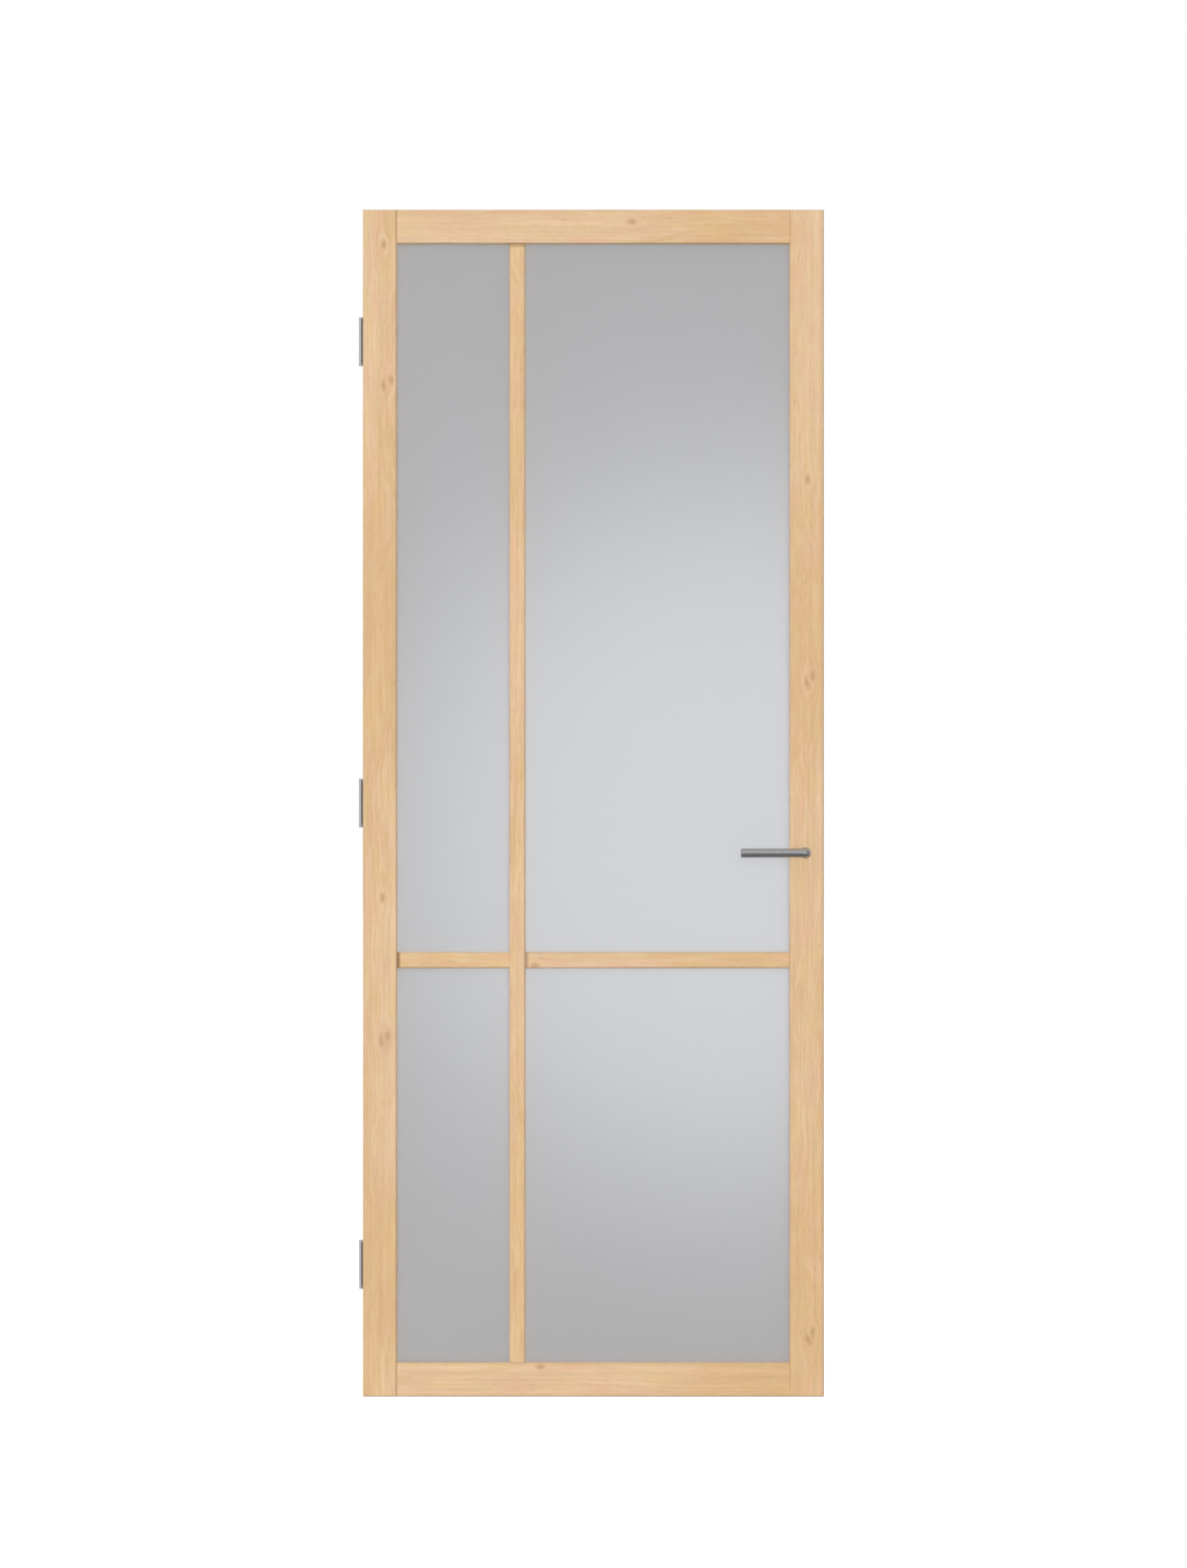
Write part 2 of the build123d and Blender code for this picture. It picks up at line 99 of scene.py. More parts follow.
# The bars' ends in painted shadow cast by the prouder member beside them, as (place along the grain, share
# of the dark tone)
PAINTED_END_SHADOWS = {
    "front_vertical_bar": ((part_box("front_vertical_bar")[1].z, 0.55),),
    "front_horizontal_bar_left": ((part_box("front_horizontal_bar_left")[0].x, 0.90),),
    "front_horizontal_bar_right": ((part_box("front_horizontal_bar_right")[0].x, 0.55),),
}

# The arrises darkened with painted shade, by the side of the member that they are on: deeper on the lower
# and right arrises, away from the key light
PAINTED_ARRIS_SHADE_WIDTHS = {"upper left": 0.0026, "lower right": 0.0034}
PAINTED_ARRIS_SHADES = {"upper left": 0.92, "lower right": 0.72}

# Half the length of a warm stretch and of its warmest part, and the length of a painted shadow at a bar's
# end
WARM_REACH = 0.34
WARM_CORE = 0.02
PAINTED_END_SHADOW_LENGTH = 0.0070

# Noise fields, as (cells per metre on each axis, detail, roughness). Grain runs along the last axis.
FIELDS = {
    "sway": ((9.0, 9.0, 1.4), 3.0, 0.5),
    "tone": ((13.0, 13.0, 1.2), 2.0, 0.5),
    "patch": ((38.0, 38.0, 11.0), 3.0, 0.55),
    "cloud": ((60.0, 60.0, 9.0), 3.0, 0.5),
    "streak": ((95.0, 95.0, 1.9), 4.0, 0.6),
    "fibre": ((620.0, 620.0, 16.0), 3.0, 0.6),
    "pore": ((1500.0, 1500.0, 55.0), 1.0, 0.5),
    "drift": ((7.0, 7.0, 5.0), 2.0, 0.5),
    "fleck": ((120.0, 120.0, 13.0), 3.0, 0.6),
    "knot edge": ((210.0, 210.0, 120.0), 3.0, 0.5),
    "glass cloud": ((5.0, 5.0, 5.0), 3.0, 0.5),
    "etch": ((2600.0, 2600.0, 2600.0), 2.0, 0.5),
    "brushing": ((2600.0, 2600.0, 2600.0), 3.0, 0.7),
    "handling": ((40.0, 40.0, 40.0), 3.0, 0.5),
    "foam cells": ((1400.0, 1400.0, 1400.0), 2.0, 0.5),
}

# Cells per metre of the brushing along its own strokes
BRUSHING_ALONG = 35.0

# Where a field turns into a mark, as (where it starts, where it is full, least share, greatest share)
MARKS = {
    "ring": (0.2, 1.0, 0.0, 1.0),
    "pore": (0.58, 0.70, 0.0, 1.0),
    "warm": (0.38, 0.64, 0.0, 1.0),
    "blush": (0.46, 0.66, 0.0, 0.60),
    "straw": (0.52, 0.34, 0.0, 0.50),
    "fleck": (0.42, 0.66, 0.0, 0.50),
    "line": (0.35, 0.65, 0.04, 0.26),
    "knot": (1.70, 0.05, 0.0, 1.0),
    "knot pull": (6.0, 0.4, 0.0, 1.0),
}

# How widely a field swings a tone, a roughness, a knot's edge or, in metres, the figure's place
SWINGS = {
    "sway": 0.05, "drift": 0.08, "streak": 0.20, "fibre": 0.16, "cloud": 0.16, "knot edge": 0.9,
    "oak roughness": 0.14, "glass roughness": 0.03, "brushing": 0.10, "handling": 0.04,
    "foam roughness": 0.1,
}

# Bumps, as (strength, depth), and the darkest and lightest tone of a finish, as shares of its colour
BUMPS = {
    "oak": (0.35, 0.0002), "glass": (0.08, 0.00005), "steel": (0.10, 0.00004), "foam": (0.5, 0.0002),
}
TONES = {"glass": (0.985, 1.015), "steel": (0.94, 1.06), "foam": (1.0, 1.5)}
FOAM_ROUGHNESS = 0.85

# The pith that the rings run round, in metres from the middle of the member's face
PITH = (0.045, 0.085, 0.0)

# How far the noise moves from one member to the next, and for the clouds
SEED_SHIFT = (3.17, 5.71, 9.37)
CLOUD_SHIFT = (4.1, 2.3, 7.7)

# What a warm stretch does to the tone, the patches and the flecks
WARM_TONE_RISE = 0.30
WARM_PATCH_LOSS = 0.45
WARM_FLECK_LOSS = 0.60

# How much of a pore needs a ring line, how strongly pores and knots show, and a fibre's height
PORE_IN_RING = 0.65
PORE_SHARE = 0.45
KNOT_SHARE = 0.70
FIBRE_RELIEF = 0.4

# A knot's shape across the face, through it and along the grain, and how far it pulls the grain in
KNOT_SHAPE = (1.0, 0.25, 0.55)
KNOT_PULL = 1.3

# Flat sides of a screw, of a pin's head and of a hexagon socket
SCREW_SIDES = 28
PIN_SIDES = 14
SOCKET_SIDES = 6

# The pieces that cast no shadow of the key light
LEVER_SET = (
    "front_lever", "back_lever", "front_rose", "back_rose", "spindle", "lock_follower", "grub_screws",
)


# Small steps in node trees

def add(tree, kind, inputs=None, **settings):
    """Adds a node, sets its options, and sets or joins the inputs given by name or number."""
    node = tree.nodes.new(kind)
    for name, value in settings.items():
        setattr(node, name, value)
    for key, value in (inputs or {}).items():
        if isinstance(value, bpy.types.NodeSocket):
            tree.links.new(value, node.inputs[key])
        else:
            node.inputs[key].default_value = value
    return node


def sum_of(tree, operation, first, second=0.0, third=0.0):
    """The result of one arithmetic step."""
    return add(tree, "ShaderNodeMath", {0: first, 1: second, 2: third}, operation=operation).outputs[0]


def vector_sum(tree, operation, first, second=(0.0, 0.0, 0.0)):
    """The result of one step on vectors."""
    inputs = {0: first, 1: second}
    return add(tree, "ShaderNodeVectorMath", inputs, operation=operation).outputs["Vector"]


def length_of(tree, vector):
    """The length of a vector."""
    return add(tree, "ShaderNodeVectorMath", {0: vector}, operation="LENGTH").outputs["Value"]


def scaled_vector(tree, vector, scale):
    """A vector made longer or shorter."""
    inputs = {0: vector, "Scale": scale}
    return add(tree, "ShaderNodeVectorMath", inputs, operation="SCALE").outputs["Vector"]


def sideways(tree, shift):
    """A vector that reaches across the grain by a shift."""
    return add(tree, "ShaderNodeCombineXYZ", {"X": shift}).outputs["Vector"]


def eased(tree, value, low, high, to_low=0.0, to_high=1.0):
    """A value moved smoothly from one range to another and held at its ends."""
    inputs = {"Value": value, "From Min": low, "From Max": high, "To Min": to_low, "To Max": to_high}
    return add(tree, "ShaderNodeMapRange", inputs, interpolation_type="SMOOTHSTEP").outputs["Result"]


def swung(tree, value, name, middle=0.0):
    """A noise value made to swing round a middle."""
    swing = SWINGS[name]
    return sum_of(tree, "MULTIPLY_ADD", value, swing, middle - swing / 2)


def noise(tree, place, field, stretch=None):
    """One of the noise fields, read at a place."""
    cells, detail, roughness = FIELDS[field]
    scaled = vector_sum(tree, "MULTIPLY", place, stretch or cells)
    inputs = {"Vector": scaled, "Scale": 1.0, "Detail": detail, "Roughness": roughness}
    return add(tree, "ShaderNodeTexNoise", inputs).outputs["Fac"]


def marked(tree, value, name):
    """The share of a named mark where a field has some value."""
    return eased(tree, value, *MARKS[name])


def least(tree, values):
    """The least of some values."""
    result, *rest = values
    for value in rest:
        result = sum_of(tree, "MINIMUM", result, value)
    return result


def distance_from(tree, value, mark):
    """How far a value is from a mark, on either side."""
    return sum_of(tree, "ABSOLUTE", sum_of(tree, "SUBTRACT", value, mark))


def blend_colours(tree, share, first, second, blend_type="MIX"):
    """Two colours mixed by a share."""
    inputs = {"Factor": share, "A": first, "B": second}
    node = add(tree, "ShaderNodeMix", data_type="RGBA", blend_type=blend_type)
    for name, value in inputs.items():
        socket = next(s for s in node.inputs if s.name == name and s.enabled)
        if isinstance(value, bpy.types.NodeSocket):
            tree.links.new(value, socket)
        else:
            socket.default_value = value
    return next(s for s in node.outputs if s.enabled)


def opaque(colour):
    """A colour with full alpha."""
    return (*colour, 1.0)


def varied_colour(tree, share, colour, finish):
    """A colour between the darkest and the lightest tone of a finish."""
    darker, lighter = [opaque([channel * tone for channel in colour]) for tone in TONES[finish]]
    return blend_colours(tree, share, darker, lighter)


def new_group(name, kind, inputs, outputs):
    """An empty node group with its named inputs and outputs, and the nodes that carry them."""
    group = bpy.data.node_groups.new(name, kind)
    for label, socket_type, value in inputs:
        socket = group.interface.new_socket(label, in_out="INPUT", socket_type=socket_type)
        if value is not None:
            socket.default_value = value
    for label, socket_type in outputs:
        group.interface.new_socket(label, in_out="OUTPUT", socket_type=socket_type)
    return group, group.nodes.new("NodeGroupInput"), group.nodes.new("NodeGroupOutput")


def new_material(name):
    """A material with an empty Principled shader on its output."""
    material = bpy.data.materials.new(name)
    material.use_nodes = True
    tree = material.node_tree
    return material, tree, tree.nodes["Principled BSDF"]


def object_place(tree):
    """The place on the piece, in metres."""
    return add(tree, "ShaderNodeTexCoord").outputs["Object"]


def bumped(tree, height, finish):
    """A surface normal from a height."""
    strength, depth = BUMPS[finish]
    inputs = {"Height": height, "Strength": strength, "Distance": depth}
    return add(tree, "ShaderNodeBump", inputs).outputs["Normal"]


def dress(tree, shader, colour, roughness, normal):
    """Joins the colour, roughness and bump of a finish to its shader."""
    for name, socket in (("Base Color", colour), ("Roughness", roughness), ("Normal", normal)):
        tree.links.new(socket, shader.inputs[name])


def paint(node_name, material):
    """Gives a piece of the frame its material."""
    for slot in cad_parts[node_name].material_slots:
        slot.material = material


# Oak

def knot_group(radius):
    """A knot: bends the grain round a centre and marks the knot itself. Grain runs along Z."""
    group, given, result = new_group(
        "Oak knot", "ShaderNodeTree",
        (
            ("Place", "NodeSocketVector", None), ("Centre", "NodeSocketVector", None),
            ("Mark", "NodeSocketFloat", 0.0),
        ),
        (("Place", "NodeSocketVector"), ("Mark", "NodeSocketFloat")),
    )
    place = given.outputs["Place"]
    offset = vector_sum(group, "SUBTRACT", place, given.outputs["Centre"])
    ragged = noise(group, place, "knot edge")
    flattened = vector_sum(group, "MULTIPLY", offset, KNOT_SHAPE)
    reach = sum_of(group, "DIVIDE", length_of(group, flattened), radius)
    ragged_reach = sum_of(group, "ADD", reach, swung(group, ragged, "knot edge"))
    mark = marked(group, ragged_reach, "knot")
    heading = vector_sum(group, "NORMALIZE", flattened)
    step = sum_of(group, "MULTIPLY", marked(group, reach, "knot pull"), -KNOT_PULL * radius)
    bent = vector_sum(group, "ADD", place, scaled_vector(group, heading, step))
    both = sum_of(group, "MAXIMUM", mark, given.outputs["Mark"])
    group.links.new(bent, result.inputs["Place"])
    group.links.new(both, result.inputs["Mark"])
    return group


def grain_group(wood):
    """Oak with its grain along Z: growth rings, patches, flecks, streaks, fibres and pores."""
    group, given, result = new_group(
        "Oak grain", "ShaderNodeTree",
        (
            ("Place", "NodeSocketVector", None), ("Seed", "NodeSocketFloat", 0.0),
            ("Warmth", "NodeSocketFloat", 0.0), ("Knot", "NodeSocketFloat", 0.0),
            ("Lightness", "NodeSocketFloat", 1.0), ("Painted End Shadow", "NodeSocketFloat", 0.0),
        ),
        (("Colour", "NodeSocketColor"), ("Roughness", "NodeSocketFloat"), ("Height", "NodeSocketFloat")),
    )
    place = given.outputs["Place"]
    shift = scaled_vector(group, SEED_SHIFT, given.outputs["Seed"])
    seeded = vector_sum(group, "ADD", place, shift)

    sway = swung(group, noise(group, seeded, "sway"), "sway")
    pith = vector_sum(group, "ADD", PITH, sideways(group, sway))
    from_pith = vector_sum(group, "SUBTRACT", place, pith)
    across_only = vector_sum(group, "MULTIPLY", from_pith, (1.0, 1.0, 0.0))
    ring_phase = sum_of(group, "MULTIPLY", length_of(group, across_only), 2 * math.pi / wood.ring_spacing)
    ring_line = marked(group, sum_of(group, "SINE", ring_phase), "ring")

    patch = noise(group, seeded, "patch")
    cloud = noise(group, vector_sum(group, "ADD", seeded, CLOUD_SHIFT), "cloud")
    streak = noise(group, seeded, "streak")
    fibre = noise(group, seeded, "fibre")
    pore_by_ring = sum_of(group, "MULTIPLY_ADD", ring_line, PORE_IN_RING, 1.0 - PORE_IN_RING)
    pore = sum_of(group, "MULTIPLY", marked(group, noise(group, seeded, "pore"), "pore"), pore_by_ring)

    warmth = given.outputs["Warmth"]
    warmed = sum_of(group, "MULTIPLY_ADD", warmth, WARM_TONE_RISE, noise(group, seeded, "tone"))
    warm_share = marked(group, warmed, "warm")
    ground = blend_colours(group, warm_share, opaque(wood.light_tone), opaque(wood.warm_tone))
    patchiness = sum_of(group, "MULTIPLY_ADD", warmth, -WARM_PATCH_LOSS, 1.0)
    blush_share = sum_of(group, "MULTIPLY", marked(group, patch, "blush"), patchiness)
    straw_share = sum_of(group, "MULTIPLY", marked(group, patch, "straw"), patchiness)
    blushed = blend_colours(group, blush_share, ground, opaque(wood.blush_tone))
    patched = blend_colours(group, straw_share, blushed, opaque(wood.straw_tone))

    drift = swung(group, noise(group, seeded, "drift"), "drift")
    slanting = vector_sum(group, "ADD", seeded, sideways(group, drift))
    fleck = marked(group, noise(group, slanting, "fleck"), "fleck")
    flecking = sum_of(group, "MULTIPLY_ADD", warmth, -WARM_FLECK_LOSS, 1.0)
    fleck_share = sum_of(group, "MULTIPLY", fleck, flecking)
    flecked = blend_colours(group, fleck_share, patched, opaque(wood.fleck_tone))
    line_share = sum_of(group, "MULTIPLY", ring_line, marked(group, cloud, "line"))
    lined = blend_colours(group, line_share, flecked, opaque(wood.line_tone))

    # The lightness carries the member's own tone and the painted shade on its arrises
    value = given.outputs["Lightness"]
    for field, name in ((streak, "streak"), (fibre, "fibre"), (cloud, "cloud")):
        value = sum_of(group, "MULTIPLY", value, swung(group, field, name, 1.0))
    grey = add(group, "ShaderNodeCombineColor", {0: value, 1: value, 2: value}).outputs["Color"]
    shaded = blend_colours(group, 1.0, lined, grey, "MULTIPLY")

    pore_share = sum_of(group, "MULTIPLY", pore, PORE_SHARE)
    pored = blend_colours(group, pore_share, shaded, opaque(wood.pore_and_end_shadow_tone))
    # Painted shadow at a bar's end, in the pore tone
    ended = blend_colours(group, given.outputs["Painted End Shadow"], pored, opaque(wood.pore_and_end_shadow_tone))
    knot_share = sum_of(group, "MULTIPLY", given.outputs["Knot"], KNOT_SHARE)
    knotted = blend_colours(group, knot_share, ended, opaque(wood.knot_tone))

    relief = sum_of(group, "MULTIPLY_ADD", fibre, FIBRE_RELIEF, sum_of(group, "MULTIPLY", pore, -1.0))
    group.links.new(knotted, result.inputs["Colour"])
    group.links.new(swung(group, fibre, "oak roughness", wood.roughness), result.inputs["Roughness"])
    group.links.new(relief, result.inputs["Height"])
    return group


def arris_distances(tree, node_name, grain_axis, parts):
    """How far a point of a member is from its upper or left arris, and from its lower or right one."""
    low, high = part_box(node_name)
    outer_faces = (low.y, high.y)
    if node_name.startswith("front_"):
        outer_faces = (low.y,)
    if node_name.startswith("back_") or node_name.endswith("bead"):
        outer_faces = (high.y,)
    from_face = least(tree, [distance_from(tree, parts["Y"], face) for face in outer_faces])
    from_left = sum_of(tree, "SUBTRACT", parts["X"], low.x)
    from_right = sum_of(tree, "SUBTRACT", high.x, parts["X"])
    from_bottom = sum_of(tree, "SUBTRACT", parts["Z"], low.z)
    from_top = sum_of(tree, "SUBTRACT", high.z, parts["Z"])
    edges = {"upper left": [from_top], "lower right": [from_bottom]}
    if grain_axis == "Z":
        edges = {"upper left": [from_left], "lower right": [from_right]}
    if node_name.endswith("stile"):
        edges = {"upper left": [from_left, from_top], "lower right": [from_right, from_bottom]}
    distances = {}
    for side, values in edges.items():
        distances[side] = sum_of(tree, "MAXIMUM", least(tree, values), from_face)
    return distances


def oak_material(node_name, seed, grain, knot):
    """One member's oak, with its own grain, knots and warmer stretches."""
    grain_axis, knots, warm_places = OAK_MEMBERS[node_name]
    material, tree, shader = new_material("oak_" + node_name)
    low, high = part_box(node_name)
    middle = (low + high) / 2
    parts = add(tree, "ShaderNodeSeparateXYZ", {0: object_place(tree)}).outputs
    across, along = ("X", "Z") if grain_axis == "Z" else ("Z", "X")
    turned = add(tree, "ShaderNodeCombineXYZ", {"X": parts[across], "Y": parts["Y"], "Z": parts[along]})
    centre_across = middle.x if grain_axis == "Z" else middle.z
    centre_line = (centre_across, 0.0, 0.0)
    place = vector_sum(tree, "SUBTRACT", turned.outputs["Vector"], centre_line)

    mark = 0.0
    for knot_across, knot_along in knots:
        centre = (knot_across - centre_across, low.y, knot_along)
        knot_inputs = {"Place": place, "Centre": centre, "Mark": mark}
        bent = add(tree, "ShaderNodeGroup", knot_inputs, node_tree=knot)
        place, mark = bent.outputs["Place"], bent.outputs["Mark"]

    warmth = 0.0
    for stretch, strength in warm_places:
        distance = distance_from(tree, parts[along], stretch)
        warm = eased(tree, distance, WARM_REACH, WARM_CORE, 0.0, strength)
        warmth = sum_of(tree, "MAXIMUM", warm, warmth)

    lightness = MEMBER_LIGHTNESS.get(node_name, 1.0)
    # Painted shade along the arrises, darkest on the lower and right sides
    for side, distance in arris_distances(tree, node_name, grain_axis, parts).items():
        width = PAINTED_ARRIS_SHADE_WIDTHS[side]
        tone = eased(tree, distance, width, width / 2, 1.0, PAINTED_ARRIS_SHADES[side])
        lightness = sum_of(tree, "MULTIPLY", lightness, tone)

    # Painted shadow at a bar's end beside the prouder member, deeper where that member stands further out
    oiled = 0.0
    for end, share in PAINTED_END_SHADOWS.get(node_name, ()):
        distance = distance_from(tree, parts[along], end)
        dark = eased(tree, distance, PAINTED_END_SHADOW_LENGTH, PAINTED_END_SHADOW_LENGTH / 2, 0.0, share)
        oiled = sum_of(tree, "ADD", dark, oiled)

    oak_inputs = {
        "Place": place, "Seed": seed, "Warmth": warmth, "Knot": mark, "Lightness": lightness,
        "Painted End Shadow": oiled,
    }
    oak = add(tree, "ShaderNodeGroup", oak_inputs, node_tree=grain)
    normal = bumped(tree, oak.outputs["Height"], "oak")
    dress(tree, shader, oak.outputs["Colour"], oak.outputs["Roughness"], normal)
    return material


# Glass, steel and tape

def glass_material(glass):
    """Grey satin-etched glass."""
    material, tree, shader = new_material("satin_glass")
    place = object_place(tree)
    cloud = noise(tree, place, "glass cloud")
    colour = varied_colour(tree, cloud, glass.colour, "glass")
    roughness = swung(tree, cloud, "glass roughness", glass.roughness)
    dress(tree, shader, colour, roughness, bumped(tree, noise(tree, place, "etch"), "glass"))
    shader.inputs["IOR"].default_value = glass.ior
    shader.inputs["Transmission Weight"].default_value = glass.transmission
    return material


def brushed_steel(name, colour, roughness, along):
    """Steel brushed along one axis."""
    material, tree, shader = new_material(name)
    stretch = list(FIELDS["brushing"][0])
    stretch["XYZ".index(along)] = BRUSHING_ALONG
    place = object_place(tree)
    brushing = noise(tree, place, "brushing", stretch)
    handled = swung(tree, noise(tree, place, "handling"), "handling", roughness)
    scratched = sum_of(tree, "ADD", swung(tree, brushing, "brushing"), handled)
    varied = varied_colour(tree, brushing, colour, "steel")
    dress(tree, shader, varied, scratched, bumped(tree, brushing, "steel"))
    shader.inputs["Metallic"].default_value = 1.0
    return material


def tape_material(colour):
    """Closed-cell foam tape, matt and faintly pitted."""
    material, tree, shader = new_material("glazing_tape")
    cells = noise(tree, object_place(tree), "foam cells")
    varied = varied_colour(tree, cells, colour, "foam")
    roughness = swung(tree, cells, "foam roughness", FOAM_ROUGHNESS)
    dress(tree, shader, varied, roughness, bumped(tree, cells, "foam"))
    return material


# Fastenings

def fastening_tree(name, shape, sizes, seed):
    """A geometry tree that sets one small shape on every point, facing the way that the point says."""
    inputs = [("Points", "NodeSocketGeometry", None)]
    inputs += [(label, "NodeSocketFloat", value) for label, value in sizes.items()]
    inputs += [("Seed", "NodeSocketInt", seed), ("Finish", "NodeSocketMaterial", None)]
    outputs = [("Geometry", "NodeSocketGeometry")]
    tree, given, result = new_group(name, "GeometryNodeTree", inputs, outputs)
    mesh = shape(tree, given.outputs)
    named = add(tree, "GeometryNodeInputNamedAttribute", {"Name": "facing"}, data_type="FLOAT_VECTOR")
    facing = named.outputs["Attribute"]
    upright = add(tree, "FunctionNodeAlignRotationToVector", {"Vector": facing}, axis="Z")
    angle = add(tree, "FunctionNodeRandomValue", data_type="FLOAT")
    angle_sockets = [socket for socket in angle.inputs if socket.enabled]
    next(s for s in angle_sockets if s.name == "Max").default_value = math.pi
    tree.links.new(given.outputs["Seed"], next(s for s in angle_sockets if s.name == "Seed"))
    angle_out = next(s for s in angle.outputs if s.enabled)
    turn = add(tree, "FunctionNodeAxisAngleToRotation", {"Axis": (0.0, 0.0, 1.0), "Angle": angle_out})
    turns = {"Rotation": upright.outputs["Rotation"], "Rotate By": turn.outputs["Rotation"]}
    turned = add(tree, "FunctionNodeRotateRotation", turns, rotation_space="LOCAL").outputs["Rotation"]
    placing = {"Points": given.outputs["Points"], "Instance": mesh, "Rotation": turned}
    copies = add(tree, "GeometryNodeInstanceOnPoints", placing).outputs["Instances"]
    real = add(tree, "GeometryNodeRealizeInstances", {"Geometry": copies}).outputs["Geometry"]
    finish = {"Geometry": real, "Material": given.outputs["Finish"]}
    finished = add(tree, "GeometryNodeSetMaterial", finish).outputs["Geometry"]
    tree.links.new(finished, result.inputs["Geometry"])
    return tree


def moved_along(tree, mesh, height):
    """A shape moved along its own axis."""
    move = add(tree, "ShaderNodeCombineXYZ", {"Z": height}).outputs["Vector"]
    return add(tree, "GeometryNodeTransform", {"Geometry": mesh, "Translation": move}).outputs["Geometry"]


def rod(tree, sides, radius, length):
    """A short rod with its middle at the point."""
    inputs = {"Vertices": sides, "Radius": radius, "Depth": length}
    return add(tree, "GeometryNodeMeshCylinder", inputs).outputs["Mesh"]


def countersunk_screw(tree, size):
    """A countersunk head with a cross recess, on a short plain shank. Its face is at the point."""
    cone = {
        "Vertices": SCREW_SIDES, "Radius Top": size["Head radius"], "Radius Bottom": size["Shank radius"],
        "Depth": size["Head depth"],
    }
    head = add(tree, "GeometryNodeMeshCone", cone).outputs
    shank_length = sum_of(tree, "SUBTRACT", size["Length"], size["Head depth"])
    shank = {"Mesh": head["Mesh"], "Selection": head["Bottom"], "Offset Scale": shank_length}
    screw = add(tree, "GeometryNodeExtrudeMesh", shank).outputs["Mesh"]
    sunk = moved_along(tree, screw, sum_of(tree, "MULTIPLY", size["Head depth"], -1.0))
    recess_height = sum_of(tree, "MULTIPLY", size["Recess depth"], 2.0)
    slots = []
    for first, second in (("Recess length", "Recess width"), ("Recess width", "Recess length")):
        sides = {"X": size[first], "Y": size[second], "Z": recess_height}
        slot_size = add(tree, "ShaderNodeCombineXYZ", sides).outputs["Vector"]
        slots.append(add(tree, "GeometryNodeMeshCube", {"Size": slot_size}).outputs["Mesh"])
    return cut_from(tree, sunk, slots)


def socket_screw(tree, size):
    """A grub screw with a hexagon socket. Its outer end is at the point."""
    barrel = rod(tree, SCREW_SIDES, size["Radius"], size["Length"])
    sunk = moved_along(tree, barrel, sum_of(tree, "MULTIPLY", size["Length"], -0.5))
    cutter_length = sum_of(tree, "MULTIPLY", size["Socket depth"], 2.0)
    return cut_from(tree, sunk, [rod(tree, SOCKET_SIDES, size["Socket radius"], cutter_length)])


def pin_head(tree, size):
    """The round head of a bead pin, driven in until it is almost flush."""
    disc = rod(tree, PIN_SIDES, size["Radius"], size["Length"])
    return moved_along(tree, disc, sum_of(tree, "MULTIPLY_ADD", size["Length"], -0.5, size["Stand"]))


def cut_from(tree, solid, cutters):
    """A solid less some cutters."""
    node = add(tree, "GeometryNodeMeshBoolean", operation="DIFFERENCE", solver="EXACT")
    tree.links.new(solid, node.inputs["Mesh 1"])
    for cutter in cutters:
        tree.links.new(cutter, node.inputs["Mesh 2"])
    return node.outputs["Mesh"]


def place_fastenings(name, tree, points, slot, body):
    """Runs a fastening tree on its points and keeps the result as one mesh that rides on a body."""
    seeds = bpy.data.meshes.new(name + "_points")
    seeds.from_pydata([place for place, _ in points], [], [])
    facings = seeds.attributes.new("facing", "FLOAT_VECTOR", "POINT")
    for item, (_, facing) in zip(facings.data, points):
        item.vector = facing
    carrier = bpy.data.objects.new(name + "_points", seeds)
    bpy.context.scene.collection.objects.link(carrier)
    modifier = carrier.modifiers.new(name, "NODES")
    modifier.node_group = tree
    inputs = {item.name: item.identifier for item in tree.interface.items_tree if item.in_out == "INPUT"}
    modifier[inputs["Finish"]] = bpy.data.materials[slot]
    evaluated = carrier.evaluated_get(bpy.context.evaluated_depsgraph_get())
    mesh = bpy.data.meshes.new_from_object(evaluated)
    bpy.data.objects.remove(carrier)
    if not mesh.polygons:
        raise RuntimeError(name + " came out empty")
    for attribute in [a for a in mesh.attributes if a.name == "facing"]:
        mesh.attributes.remove(attribute)
    mesh.name = name
    piece = bpy.data.objects.new(name, mesh)
    bpy.context.scene.collection.objects.link(piece)
    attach(piece, body)


# Light and who sees what

def seen_directly(tree):
    """One where the camera, a gloss or clear glass sees the surface, and nothing where it only lights."""
    rays = add(tree, "ShaderNodeLightPath").outputs
    seen = sum_of(tree, "MAXIMUM", rays["Is Camera Ray"], rays["Is Glossy Ray"])
    return sum_of(tree, "MAXIMUM", seen, rays["Is Transmission Ray"])


def linked_set(name, piece_names, state="INCLUDE"):
    """A set of pieces that a lamp is linked to, or that it leaves out."""
    group = bpy.data.collections.new(name)
    for piece_name in piece_names:
        group.objects.link(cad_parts.get(piece_name) or bpy.data.objects[piece_name])
    for member in group.collection_objects:
        member.light_linking.link_state = state
    return group


def only_for(item, **kinds):
    """Says which kinds of ray see an object, and hides it from the rest."""
    for kind in ("camera", "diffuse", "glossy", "transmission", "volume_scatter", "shadow"):
        setattr(item, "visible_" + kind, kinds.get(kind, False))


# Settings. Their colours, small lengths, distances and shares have these in common.

COLOUR = {"subtype": "COLOR", "size": 3, "min": 0, "max": 1}
LENGTH = {"subtype": "DISTANCE", "precision": 4}
DISTANCE = {"subtype": "DISTANCE"}
SHARE = {"subtype": "FACTOR", "min": 0, "max": 1}


